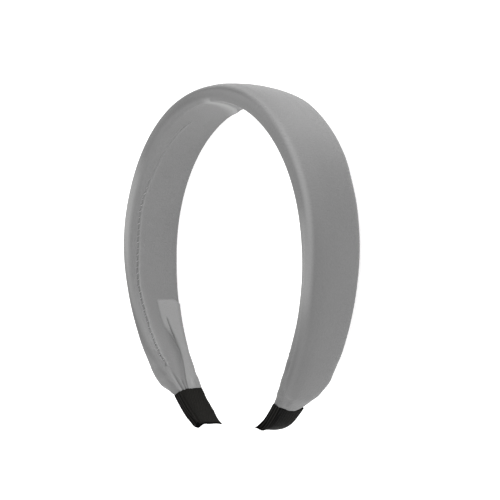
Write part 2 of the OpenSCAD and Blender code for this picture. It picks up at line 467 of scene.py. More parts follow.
def edge_shift(table, side, across, up):
    """How far a ribbon's edge reaches towards the tip: up is 0 inside and 1 on the outside."""
    left = between(smooth_lookup(table, 1, across), smooth_lookup(table, 2, across), up)
    right = between(smooth_lookup(table, 3, across), smooth_lookup(table, 4, across), up)
    return np.where(side < 0, left, right) * mm


def inner_relief(s, u, far_edge):
    """How far the inner face stands in (plus) or out (minus), and its painted light and shade."""
    share = share_of(s)
    from_seam = u - seam_route(s, share)
    pull = smooth_lookup(SEAM, 2, share)
    beat = 0.5 + 0.5 * np.cos(2 * math.pi * s / STITCH_PITCH)
    slant = 0.5 + 0.5 * np.cos(2 * math.pi * (s + PUCKER_LEAN * from_seam) / STITCH_PITCH)
    groove = bell(from_seam, SEAM_WIDTH)
    near_at, near_width, near_height = NEAR_LIP
    near_lip = bell(from_seam - near_at, near_width)
    far_at, far_width, far_height = FAR_LIP
    far_lip = bell(from_seam - far_at, far_width)
    seam = pull * (
        SEAM_DEPTH * between(SHALLOWEST, 1, beat) * groove
        - near_height * between(*NEAR_PUCKER, slant) * near_lip
        - far_height * between(*FAR_PUCKER, slant) * far_lip
    )

    slanted = share - TUCK_SLANT * smooth_step(-u, *SLANTED)
    edge = smooth_lookup(TUCK, 1, share) * mm
    crease = smooth_lookup(TUCK, 2, share) * mm
    lift = np.where(slanted < TUCK[0][0], 0, smooth_lookup(TUCK, 3, slanted))
    creased = np.where(share < TUCK[0][0], 0, smooth_lookup(TUCK, 4, share))
    lifted = smooth_step(edge - u, 0, TUCK_EDGE)
    rolled = smooth_step(share, *ROLL_BEGINS) * (1 - smooth_step(share, *ROLL_ENDS))
    lightened = between(lifted, smooth_step(crease - u, *ROLLED_PAINTED_LIGHT_BEGINS), rolled)
    slope = np.clip((crease - u) / (crease + far_edge), 0, 1)
    in_crease = creased * bell(u - crease, CREASE_WIDTH)
    tuck = CREASE_DEPTH * in_crease - TUCK_LIFT * lift * between(slope, lifted, EDGE_LIFT)

    wave_edge = smooth_lookup(WAVE_EDGE, 1, u / mm) * mm
    past = -s - wave_edge
    wave = smooth_step(past, 0, WAVE_RISE) * (1 - smooth_step(past, WAVE_CREST, WAVE_LENGTH))

    folds = fold_relief(s, share, u)
    relief = seam + tuck - folds - WAVE_HEIGHT * wave
    beside_at, beside_width = BESIDE_CREASE
    beside_crease = bell(u - crease - beside_at, beside_width)
    beside_crease = beside_crease * smooth_step(share, *BESIDE_CREASE_FADES)
    near_strip = smooth_step(share, *NEAR_STRIP_FADES) * smooth_step(u, *NEAR_STRIP_FROM)
    beside_at, beside_width = BESIDE_SEAM
    beside_seam = bell(from_seam - beside_at, beside_width)
    # Painted light and shade: lighter on the lifted cloth, the wave, the fold ridges, the seam's
    # lips and beside the seam; darker at the far edge, in the crease and beside it, on the near
    # strip, in the fold creases and in the seam's groove
    painted_light = (
        LIFTED_PAINTED_HIGHLIGHT * lift * lightened
        + FAR_EDGE_PAINTED_SHADE * lift * smooth_step(-u - far_edge, -FAR_EDGE_STRIP, 0)
        + CREASE_PAINTED_SHADE * in_crease
        + BESIDE_CREASE_PAINTED_SHADE * lift * beside_crease
        + NEAR_STRIP_PAINTED_SHADE * near_strip
        + FOLD_PAINTED_LIGHT * folds / mm
        + WAVE_PAINTED_HIGHLIGHT * wave
        + GROOVE_PAINTED_SHADE * pull * beat * groove
        + NEAR_LIP_PAINTED_HIGHLIGHT * pull * near_lip
        + (FAR_LIP_PAINTED_HIGHLIGHT + FAR_LIP_SLANT_PAINTED_HIGHLIGHT * slant) * pull * far_lip
        + BESIDE_SEAM_PAINTED_LIGHT * pull * beside_seam
    )
    return relief, painted_light


def ring_places():
    """Where the cover's rings stand along the arch, closer together on the arms."""
    places = []
    for side in (-1, 1):
        mouth = PADDED_LENGTH[side]
        turn = ARM_FROM * mouth
        head = np.linspace(0, turn, int(turn / HEAD_RING), endpoint=False)
        arm = np.linspace(turn, mouth, int((mouth - turn) / ARM_RING))
        tongue = mouth + TONGUE_LENGTH * (np.arange(TONGUE_RINGS) + 1) / TONGUE_RINGS
        places.append(side * np.concatenate([head, arm, tongue]))
    return np.concatenate([places[0][:0:-1], places[1]])


def cover_section(s):
    """The padding's section at each place: u and v of its points, counted from the near foot."""
    share = share_of(s)
    near, far = edges_at(s)
    scale = (near + far) / (2 * FULL_HALF)
    wall = smooth_lookup(HEIGHTS, 1, share)[:, None] * mm
    dome = smooth_lookup(HEIGHTS, 2, share)[:, None] * mm
    tilt = smooth_lookup(HEIGHTS, 3, share)[:, None] * mm
    near_wall, far_wall = wall - tilt, wall + tilt
    middle = ((near - far) / 2)[:, None]
    half = ((near + far) / 2)[:, None]
    zero = np.zeros(len(s))
    quarter = np.full(len(s), math.pi / 2)
    foot_turn = steps(zero, quarter, FOOT_POINTS)
    shoulder_turn = steps(zero, quarter, SHOULDER_POINTS)
    up_wall = np.arange(WALL_POINTS) / WALL_POINTS
    foot_v = FOOT_RISE * (1 - np.cos(foot_turn))
    near_foot = (of_arm(NEAR_SIDE, 3, 4, s, share) * mm * scale)[:, None] * (1 - np.sin(foot_turn))
    far_foot = FAR_FOOT * scale[:, None] * (1 - np.sin(foot_turn))

    splay = (WALL_SPLAY * scale)[:, None]
    reach = (smooth_lookup(NEAR_SIDE, 1, share) * scale)[:, None] * mm
    drop = smooth_lookup(NEAR_SIDE, 2, share)[:, None] * mm
    near = near[:, None]
    near_u = np.concatenate([
        near - splay - near_foot,
        near - splay * (1 - up_wall) ** SPLAY_CURVE,
        near - reach * (1 - np.cos(shoulder_turn)),
    ], 1)
    near_v = np.concatenate([
        foot_v,
        between(FOOT_RISE, near_wall - drop, up_wall),
        near_wall - drop * (1 - np.sin(shoulder_turn)),
    ], 1)

    far = far[:, None]
    far_reach = (of_arm(FAR_SHOULDER, 1, 3, s, share) * mm * scale)[:, None]
    far_drop = of_arm(FAR_SHOULDER, 2, 4, s, share)[:, None] * mm
    far_u = -np.concatenate([
        far - far_foot,
        np.broadcast_to(far, (len(s), WALL_POINTS)),
        far - far_reach * (1 - np.cos(shoulder_turn)),
    ], 1)
    far_v = np.concatenate([
        foot_v,
        between(FOOT_RISE, far_wall - far_drop, up_wall),
        far_wall - far_drop * (1 - np.sin(shoulder_turn)),
    ], 1)

    top_u = between(near - reach, far_reach - far, np.linspace(0, 1, TOP_POINTS))
    top_v = between(near_wall, far_wall, np.linspace(0, 1, TOP_POINTS))
    u = np.concatenate([near_u, top_u, far_u[:, ::-1]], 1)
    v = np.concatenate([near_v, top_v, far_v[:, ::-1]], 1)
    bottom = FOOT_POINTS + WALL_POINTS
    over = dome * (1 - ((u - middle) / half) ** 2)
    v[:, bottom:-bottom] += over[:, bottom:-bottom]

    inner_near = near_u[:, 0]
    inner_far = far_u[:, 0]
    crease = smooth_lookup(TUCK, 2, share) * mm
    seam = smooth_lookup(SEAM, 1, share) * mm
    tuck_zone = TUCK_ZONE * scale
    seam_zone = SEAM_ZONE * scale
    inner_u = np.concatenate([
        steps(inner_far, crease - tuck_zone * TUCK_ZONE_FAR, FLANK_POINTS)[:, 1:],
        steps(crease - tuck_zone * TUCK_ZONE_FAR, crease + tuck_zone, TUCK_POINTS),
        steps(crease + tuck_zone, seam - seam_zone, MIDDLE_POINTS),
        steps(seam - seam_zone, seam + seam_zone, SEAM_POINTS),
        steps(seam + seam_zone, inner_near, STRIP_POINTS),
    ], 1)
    return np.concatenate([u, inner_u], 1), np.concatenate([v, np.zeros(inner_u.shape)], 1)


def cover_rings(s, section_u, section_v):
    """Points of every ring, from the left end to the right, and their painted light and shade."""
    share = share_of(s)
    inside = np.maximum(np.abs(s) - padded_length(s), 0)
    inset = (TONGUE_INSET * smooth_step(inside, 0, TONGUE_STEP))[:, None]
    near, far = (edge[:, None] for edge in edges_at(s))
    middle, half = (near - far) / 2, (near + far) / 2
    side = np.where(s < 0, -1, 1)[:, None]

    outside = FOOT_POINTS * 2 + WALL_POINTS * 2 + SHOULDER_POINTS * 2 + TOP_POINTS
    relief, painted_light = inner_relief(s[:, None], section_u, far - FAR_FOOT)
    weight = np.ones(section_u.shape)
    weight[:, FOOT_POINTS:outside - FOOT_POINTS] = 0
    for foot in (slice(0, FOOT_POINTS), slice(outside - FOOT_POINTS, outside)):
        weight[:, foot] = 1 - section_v[:, foot] / FOOT_RISE
    v = section_v + relief * weight
    u = section_u
    wall = smooth_lookup(HEIGHTS, 1, share)[:, None] * mm
    # Painted light and shade on the near wall and shoulder, and on the outer face
    wall_painted_light = of_arm(NEAR_PAINTED_LIGHT, 1, 3, s, share)[:, None]
    shoulder_painted_light = of_arm(NEAR_PAINTED_LIGHT, 2, 4, s, share)[:, None]
    rise = section_v / wall
    toward_right = smooth_step(s, -ARMS_BLEND, ARMS_BLEND)[:, None]
    on_left = smooth_step(rise, *LEFT_SHOULDER_PAINTED_LIGHT)
    on_right = smooth_step(rise, *RIGHT_SHOULDER_PAINTED_LIGHT)
    near_painted_light = between(wall_painted_light, shoulder_painted_light, between(on_left, on_right, toward_right))
    outer_near = smooth_lookup(OUTER_PAINTED_LIGHT, 1, share)[:, None]
    outer_rest = smooth_lookup(OUTER_PAINTED_LIGHT, 2, share)[:, None]
    outer_painted_light = between(outer_rest, outer_near, smooth_step(section_u, *OUTER_NEAR_FROM))
    on_face = smooth_step(near - section_u, *OUTER_FACE_FROM)
    # The inner face is painted lighter against its real shade, more near the crown
    inside_painted_light = INSIDE_PAINTED_LIGHT + CROWN_PAINTED_LIGHT * bell(s, CROWN_SPREAD)[:, None] + painted_light
    painted_light = between(between(near_painted_light, outer_painted_light, on_face), inside_painted_light, weight)

    centre = NECK_HEIGHT / 2
    v = centre + (v - centre) * (1 - inset / centre)
    u = middle + (u - middle) * (1 - inset / half)
    at_mouth = smooth_step(share, *BOW_BEGINS)[:, None]
    bow = edge_shift(MOUTH_BOW, side, (near - u) / (near + far), np.clip(v / NECK_HEIGHT, 0, 1))
    bowed = s[:, None] + side * bow * at_mouth
    return place(bowed, u, v), np.clip(painted_light, *PAINTED_LIGHT_RANGE)


def cloth_lengths(s, points):
    """Length along the band and round it at each point, in metres, for the weave."""
    around = np.linalg.norm(np.diff(points, axis=1, append=points[:, :1]), axis=2)
    across = np.concatenate([np.zeros((len(s), 1)), np.cumsum(around, 1)], 1)
    return np.stack([np.repeat(s[:, None], across.shape[1], 1), across], -1)


def skin(name, points, cloth):
    """A closed mesh through rings of points, with the lengths of its cloth as its UV map."""
    count, around = points.shape[:2]
    k, j = np.meshgrid(np.arange(count - 1), np.arange(around), indexing="ij")
    here = k * around + j
    beside = k * around + (j + 1) % around
    faces = np.stack([here, here + around, beside + around, beside], -1).reshape(-1, 4).tolist()
    faces.append(list(range(around)))
    faces.append(list(range((count - 1) * around, count * around))[::-1])
    mesh = bpy.data.meshes.new(name)
    mesh.from_pydata(points.reshape(-1, 3).tolist(), [], faces)
    corners = np.stack([cloth[k, j], cloth[k + 1, j], cloth[k + 1, j + 1], cloth[k, j + 1]], 2)
    corners = np.concatenate([corners.reshape(-1, 2), cloth[0, :-1], cloth[-1, :-1][::-1]])
    mesh.uv_layers.new(name="cloth").data.foreach_set("uv", corners.astype(np.float32).ravel())
    mesh.polygons.foreach_set("use_smooth", np.ones(len(faces), bool))
    piece = bpy.data.objects.new(name, mesh)
    bpy.context.scene.collection.objects.link(piece)
    return piece


def set_painted_light(piece, painted_light):
    """Keeps on each point the light or shade painted into its colour, for the material."""
    values = painted_light.astype(np.float32).ravel()
    piece.data.attributes.new("painted_light", "FLOAT", "POINT").data.foreach_set("value", values)


def new_material(name):
    """A material with its node tree and its Principled shader."""
    material = bpy.data.materials.new(name)
    material.use_nodes = True
    tree = material.node_tree
    return material, tree, tree.nodes["Principled BSDF"]


def add_node(tree, kind, inputs=None, **settings):
    """A node with its settings; each input is given a value, or linked to a socket."""
    node = tree.nodes.new(kind)
    for key, value in settings.items():
        setattr(node, key, value)
    for key, value in (inputs or {}).items():
        if isinstance(value, bpy.types.NodeSocket):
            tree.links.new(value, node.inputs[key])
        else:
            node.inputs[key].default_value = value
    return node


def cloth_threads():
    """Threads across and along a cloth: a height and a shade, from its lengths in metres."""
    group = bpy.data.node_groups.new("cloth threads", "ShaderNodeTree")
    face = group.interface
    face.new_socket("Cloth", in_out="INPUT", socket_type="NodeSocketVector")
    face.new_socket("Pitch Along", in_out="INPUT", socket_type="NodeSocketFloat")
    face.new_socket("Pitch Across", in_out="INPUT", socket_type="NodeSocketFloat")
    face.new_socket("Height", in_out="OUTPUT", socket_type="NodeSocketFloat")
    face.new_socket("Shade", in_out="OUTPUT", socket_type="NodeSocketFloat")
    start = group.nodes.new("NodeGroupInput")
    end = group.nodes.new("NodeGroupOutput")
    parts = add_node(group, "ShaderNodeSeparateXYZ", inputs={0: start.outputs["Cloth"]})
    waves = []
    for length, pitch in (("X", "Pitch Along"), ("Y", "Pitch Across")):
        turns = add_node(group, "ShaderNodeMath", operation="DIVIDE",
                         inputs={0: parts.outputs[length], 1: start.outputs[pitch]})
        angle = add_node(group, "ShaderNodeMath", operation="MULTIPLY",
                         inputs={0: turns.outputs[0], 1: 2 * math.pi})
        waves.append(add_node(group, "ShaderNodeMath", operation="SINE",
                              inputs={0: angle.outputs[0]}))
    height = add_node(group, "ShaderNodeMath", operation="ADD",
                      inputs={0: waves[0].outputs[0], 1: waves[1].outputs[0]})
    flecks = add_node(group, "ShaderNodeTexNoise", noise_dimensions="3D",
                      inputs={"Vector": start.outputs["Cloth"], "Scale": 1800.0, "Detail": 2.0})
    group.links.new(height.outputs[0], end.inputs["Height"])
    group.links.new(flecks.outputs["Fac"], end.inputs["Shade"])
    return group


threads = cloth_threads()


def grey_satin():
    """Warp-faced satin: a soft gloss, very fine threads, and painted light and shade."""
    material, tree, shader = new_material("grey satin")
    cloth = add_node(tree, "ShaderNodeUVMap", uv_map="cloth")
    weave = add_node(tree, "ShaderNodeGroup", node_tree=threads, inputs={
        "Cloth": cloth.outputs[0], "Pitch Along": 0.00022, "Pitch Across": 0.00013})
    where = add_node(tree, "ShaderNodeTexCoord")
    clouds = add_node(tree, "ShaderNodeTexNoise", inputs={
        "Vector": where.outputs["Object"], "Scale": 45.0, "Detail": 3.0})
    grain = add_node(tree, "ShaderNodeTexNoise", inputs={
        "Vector": where.outputs["Object"], "Scale": 1300.0, "Detail": 2.0})
    tone = add_node(tree, "ShaderNodeMix", data_type="RGBA", inputs={
        "Factor": weave.outputs["Shade"], "A": (0.136, 0.136, 0.136, 1),
        "B": (0.160, 0.160, 0.160, 1)})
    cloudy = add_node(tree, "ShaderNodeMapRange", inputs={
        "Value": clouds.outputs["Fac"], "From Min": 0.3, "From Max": 0.7,
        "To Min": 0.98, "To Max": 1.02})
    # Light and shade painted into the colour: each point's painted light scales the satin's tone
    turned = add_node(tree, "ShaderNodeAttribute", attribute_name="painted_light")
    painted_light = add_node(tree, "ShaderNodeMapRange", clamp=False, inputs={
        "Value": turned.outputs["Fac"], "From Min": 0.0, "From Max": 1.0,
        "To Min": 1.0, "To Max": 1.32})
    both = add_node(tree, "ShaderNodeMath", operation="MULTIPLY",
                    inputs={0: cloudy.outputs[0], 1: painted_light.outputs[0]})
    shaded = add_node(tree, "ShaderNodeVectorMath", operation="SCALE", inputs={
        0: tone.outputs["Result"], "Scale": both.outputs[0]})
    tree.links.new(shaded.outputs[0], shader.inputs["Base Color"])
    pile = add_node(tree, "ShaderNodeBump", inputs={
        "Strength": 0.5, "Distance": 0.00045, "Height": grain.outputs["Fac"]})
    bump = add_node(tree, "ShaderNodeBump", inputs={
        "Strength": 0.25, "Distance": 0.00003, "Height": weave.outputs["Height"],
        "Normal": pile.outputs[0]})
    tree.links.new(bump.outputs[0], shader.inputs["Normal"])
    shader.inputs["Roughness"].default_value = 0.45
    shader.inputs["Specular IOR Level"].default_value = 0.08
    shader.inputs["Sheen Weight"].default_value = 0.03
    shader.inputs["Sheen Roughness"].default_value = 0.4
    return material


# The cloth is simulated as a coarse copy of the padding, enlarged because Blender's cloth
# behaves best on things of a metre or more, and its moves are laid on the fine cover. The
# spare cloth fades out towards the ribbon, over these shares of the padded length. The inner
# face, up to a small height, is held.
TRIAL_SCALE = 20
TRIAL_PITCH = 2.0 * mm
TRIAL_SLACK = 0.3 * mm
TRIAL_PRESSURE = 1.6
TRIAL_FRAMES = 20
SPARE_CLOTH = 0.05
SPARE_FADES = (0.84, 0.95)
HELD_BELOW = 0.1 * mm
MOVE_LIMIT = 1.0 * mm
MOVES_SPREAD = 0.9 * TRIAL_PITCH


def nearest(places, wanted):
    """Which places lie nearest to the wanted lengths, each once."""
    return np.unique([np.argmin(np.abs(places - at)) for at in wanted])


def blend_weights(wanted, known, width):
    """Rows of weights that spread values known at some lengths smoothly over others."""
    weights = bell(wanted[:, None] - known[None], width)
    return weights / weights.sum(1, keepdims=True)


def settled_moves(s, section_u, section_v):
    """How far each point of the cover moves as its cloth settles over the foam."""
    crown = len(s) // 2
    girth = np.hypot(np.diff(section_u[crown]), np.diff(section_v[crown]))
    girth = np.concatenate([[0], np.cumsum(girth)])
    rings = nearest(s, np.arange(s[0], s[-1], TRIAL_PITCH))
    columns = nearest(girth, np.arange(0, girth[-1], TRIAL_PITCH))
    u, v = section_u[rings][:, columns], section_v[rings][:, columns]
    before = place(s[rings][:, None], u, v)
    start = place(s[rings][:, None], u, v * (1 - TRIAL_SLACK / v.max(1, keepdims=True)))

    trial = skin("cloth trial", start * TRIAL_SCALE, cloth_lengths(s[rings], start))
    in_tongue = np.abs(s[rings]) >= padded_length(s[rings])
    held = (v < HELD_BELOW) | in_tongue[:, None]
    trial.vertex_groups.new(name="held").add(np.nonzero(held.ravel())[0].tolist(), 1.0, "REPLACE")
    snug = trial.vertex_groups.new(name="snug")
    for k, weight in enumerate(1 - smooth_step(share_of(s[rings]), *SPARE_FADES)):
        snug.add(list(range(k * len(columns), (k + 1) * len(columns))), float(weight), "REPLACE")
    cloth = trial.modifiers.new("cloth", "CLOTH")
    feel = cloth.settings
    feel.quality = 6
    feel.mass = 0.1
    feel.tension_stiffness = 12
    feel.compression_stiffness = 12
    feel.shear_stiffness = 4
    feel.bending_stiffness = 0.3
    feel.use_pressure = True
    feel.uniform_pressure_force = TRIAL_PRESSURE
    feel.vertex_group_mass = "held"
    feel.vertex_group_shrink = "snug"
    feel.shrink_min = -SPARE_CLOTH
    feel.shrink_max = 0.0
    feel.effector_weights.gravity = 0
    cloth.collision_settings.use_collision = False
    cloth.point_cache.frame_start = 1
    cloth.point_cache.frame_end = TRIAL_FRAMES
    for moment in range(1, TRIAL_FRAMES + 1):
        bpy.context.scene.frame_set(moment)
    settled = trial.evaluated_get(bpy.context.evaluated_depsgraph_get())
    after = np.empty(before.size)
    settled.data.vertices.foreach_get("co", after)
    bpy.data.objects.remove(trial)
    bpy.context.scene.frame_set(1)

    moves = np.where(held[..., None], 0, after.reshape(before.shape) / TRIAL_SCALE - before)
    length = np.linalg.norm(moves, axis=2, keepdims=True)
    moves = moves * np.minimum(1, MOVE_LIMIT / np.maximum(length, 1e-9))
    along = blend_weights(s, s[rings], MOVES_SPREAD)
    around = blend_weights(girth, girth[columns], MOVES_SPREAD)
    return np.einsum("ri,ijk,cj->rck", along, moves, around, optimize=True)


ring_s = ring_places()
section_u, section_v = cover_section(ring_s)
cover_points, painted_light = cover_rings(ring_s, section_u, section_v)
cover_points += settled_moves(ring_s, section_u, section_v)
cover_points[..., 2] = np.maximum(cover_points[..., 2], cad_low.z)
satin = grey_satin()
cover = skin("satin_cover", cover_points, cloth_lengths(ring_s, cover_points))
set_painted_light(cover, painted_light)
cover.data.materials.append(satin)
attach(cover, "root")
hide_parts("padded_band")

# Closing stitches
# The cover is closed by hand with ladder stitches in grey thread, which cross the seam's
# groove about every three millimetres and show where they aren't pulled right under.
THREAD_RADIUS = 0.14 * mm
THREAD_SIDES = 6
THREAD_RINGS = 7
STITCHED = (0.40, 0.903)

# A tight and a slack stitch: how far it reaches to each side of the seam, how far it runs
# along it and how high it stands, then how deep all go in and how far they stand off
STITCH_REACH = (0.45 * mm, 0.75 * mm)
STITCH_RUN = (0.5 * mm, 1.1 * mm)
STITCH_RISE = (0.04 * mm, 0.32 * mm)
STITCH_SINK = 0.10 * mm
STITCH_OFF = 0.15 * mm

# How far the slack turns from one stitch to the next, in radians
SLACK_TURN = 2.4


def stitch(s):
    """Points of one short thread across the seam, sunk into the cloth at both its ends."""
    side = 1 if s > 0 else -1
    share = float(share_of(np.float64(s)))
    k = round(s / STITCH_PITCH)
    slack = 0.5 + 0.5 * math.sin(SLACK_TURN * k)
    t = np.linspace(0, 1, THREAD_RINGS)
    seam = float(seam_route(np.float64(s), share)) + STITCH_OFF
    u = seam + (t - 0.5) * 2 * between(*STITCH_REACH, slack)
    along = s + side * (t - 0.5) * between(*STITCH_RUN, slack)
    v = STITCH_SINK - (between(*STITCH_RISE, slack) + STITCH_SINK) * np.sin(math.pi * t)
    middle = place(along, u, v)
    forward = np.gradient(middle, axis=0)
    forward /= np.linalg.norm(forward, axis=1)[:, None]
    across = np.cross(forward, (0.0, 0.0, 1.0))
    across /= np.linalg.norm(across, axis=1)[:, None]
    up = np.cross(across, forward)
    angle = 2 * math.pi * np.arange(THREAD_SIDES) / THREAD_SIDES
    thin = np.sqrt(np.clip(1 - (2 * t - 1) ** 6, 0.15, 1))[:, None, None] * THREAD_RADIUS
    round_it = across[:, None] * np.cos(angle)[:, None] + up[:, None] * np.sin(angle)[:, None]
    return middle[:, None] + thin * round_it


def stitches():
    """All the stitches of both arms in one mesh."""
    points, faces = [], []
    for side in (-1, 1):
        first, last = (share * PADDED_LENGTH[side] / STITCH_PITCH for share in STITCHED)
        for k in range(int(first), int(last) + 1):
            start = len(points) * THREAD_RINGS * THREAD_SIDES
            points.append(stitch(side * k * STITCH_PITCH))
            for ring in range(THREAD_RINGS - 1):
                for j in range(THREAD_SIDES):
                    here = start + ring * THREAD_SIDES + j
                    beside = start + ring * THREAD_SIDES + (j + 1) % THREAD_SIDES
                    faces.append((here, here + THREAD_SIDES, beside + THREAD_SIDES, beside))
            end = start + (THREAD_RINGS - 1) * THREAD_SIDES
            faces.append([start + j for j in range(THREAD_SIDES)])
            faces.append([end + j for j in range(THREAD_SIDES)][::-1])
    mesh = bpy.data.meshes.new("seam_stitches")
    mesh.from_pydata(np.array(points).reshape(-1, 3).tolist(), [], faces)
    mesh.polygons.foreach_set("use_smooth", np.ones(len(faces), bool))
    piece = bpy.data.objects.new("seam_stitches", mesh)
    bpy.context.scene.collection.objects.link(piece)
    return piece


def grey_thread():
    """Twisted sewing thread, a little lighter than the satin."""
    material, tree, shader = new_material("grey sewing thread")
    where = add_node(tree, "ShaderNodeTexCoord")
    twist = add_node(tree, "ShaderNodeTexWave", bands_direction="DIAGONAL", inputs={
        "Vector": where.outputs["Object"], "Scale": 2500.0, "Distortion": 1.0})
    tone = add_node(tree, "ShaderNodeMix", data_type="RGBA", inputs={
        "Factor": twist.outputs["Fac"], "A": (0.28, 0.28, 0.28, 1), "B": (0.52, 0.52, 0.52, 1)})
    tree.links.new(tone.outputs["Result"], shader.inputs["Base Color"])
    bump = add_node(tree, "ShaderNodeBump", inputs={
        "Strength": 0.4, "Distance": 0.00004, "Height": twist.outputs["Fac"]})
    tree.links.new(bump.outputs[0], shader.inputs["Normal"])
    shader.inputs["Roughness"].default_value = 0.5
    return material


thread = stitches()
thread.data.materials.append(grey_thread())
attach(thread, "root")

# Ribbon tips
# Each end is bound in black grosgrain ribbon, wrapped round once with its ribs along the
# arm and its end lapped on itself, then pinched flat and folded in at the tip.
RIBBON_THICKNESS = 0.55 * mm
RIBBON_CORNER = 0.5 * mm
RIB_PITCH = 1.4 * mm
RIB_HEIGHT = 0.10 * mm
RIBBON_RING = 0.5 * mm
RIBBON_FOLD = 6 * mm
STRIP_STEPS = 36
FACE_STEPS = 90

# Rings round the lip of the mouth and into the folded tip: how far from the mouth or past
# the tip, and how far in from the outside; then where the even rings of the inside end
LIP_RINGS = [(0.15 * mm, RIBBON_THICKNESS), (0.0, 0.7 * RIBBON_THICKNESS), (0.0, 0.2 * mm)]
TIP_RINGS = [(0.05 * mm, 0.15 * mm), (0.0, 0.3 * mm)]
INSIDE_ENDS = 0.3 * mm

# Share of the ribbon's length from mouth to tip, then how far its near and far edge stand
# from the band's middle line, and its thickness at the near and at the far edge, in
# millimetres
RIBBON_SHAPE = {
    -1: [
        (0.00, 6.0, 7.2, 4.9, 4.9),
        (0.35, 6.0, 6.7, 4.9, 4.1),
        (0.62, 5.9, 6.7, 4.7, 2.7),
        (0.74, 5.7, 6.3, 4.4, 1.9),
        (0.90, 5.7, 6.0, 4.0, 1.0),
        (1.00, 5.7, 6.4, 3.5, 0.8),
    ],
    1: [
        (0.00, 6.8, 6.1, 4.9, 4.9),
        (0.35, 6.7, 5.8, 4.9, 4.7),
        (0.60, 6.8, 5.4, 4.8, 4.3),
        (0.80, 7.5, 4.9, 4.4, 3.4),
        (0.92, 8.2, 4.8, 3.6, 2.2),
        (1.00, 8.9, 4.6, 1.6, 1.2),
    ],
}

# How much light is painted on each ribbon's faces, beside their near and their far edge, the
# painted highlight that the ribs add there, and how light the hollows and the ribs of its edge
# strips are painted
FACE_PAINTED_LIGHT = {-1: (0.17, 0.55), 1: (-0.08, 0.44)}
FACE_RIB_PAINTED_HIGHLIGHT = 0.05
STRIP_PAINTED_LIGHT = (0.03, 0.93)

# How proud the ribs stand on the faces and on the edge strips, as shares of their height
FACE_RIBS = 0.45
STRIP_RIBS = 1.2

# The lapped end on the hidden face: shares of the width where it starts and where it fades
LAP_AT = (0.42, 0.44)
LAP_FADES = (0.5, 0.95)
LAP_RISE = 0.3 * mm

# The fold pressed in beside the near edge, and the notch that the pinched tip has there,
# which start at these shares of the ribbon's length
PRESSED_AT = 0.9 * mm
PRESSED_WIDTH = 0.45 * mm
PRESSED_DEPTH = 0.25 * mm
PRESSED_FROM = (0.05, 0.3)
NOTCH_DEPTH = 1.0 * mm
PINCH_FROM = 0.45

# Share of the ribbon's width from its near to its far edge, then how far its end reaches
# past the arm's own end on the inner and on the outer face, in millimetres: left, then right
RIBBON_END = [
    (0.00, -0.8, -0.8, 0.2, -1.1),
    (0.09, 0.5, 0.5, 0.2, -1.2),
    (0.18, 0.2, 0.2, 0.1, -0.8),
    (0.28, -0.2, -0.2, 0.4, 0.2),
    (0.60, 0.3, 0.3, 1.3, 1.3),
    (0.85, 0.8, 0.8, 1.8, 1.8),
    (1.00, 1.6, 1.6, 0.8, 0.8),
]


def rounding(distance, radius):
    """How far a face drops at a distance from a corner of that radius."""
    beside = 1 - np.clip(distance / radius, 0, 1)
    return radius * (1 - np.sqrt(1 - beside ** 2))


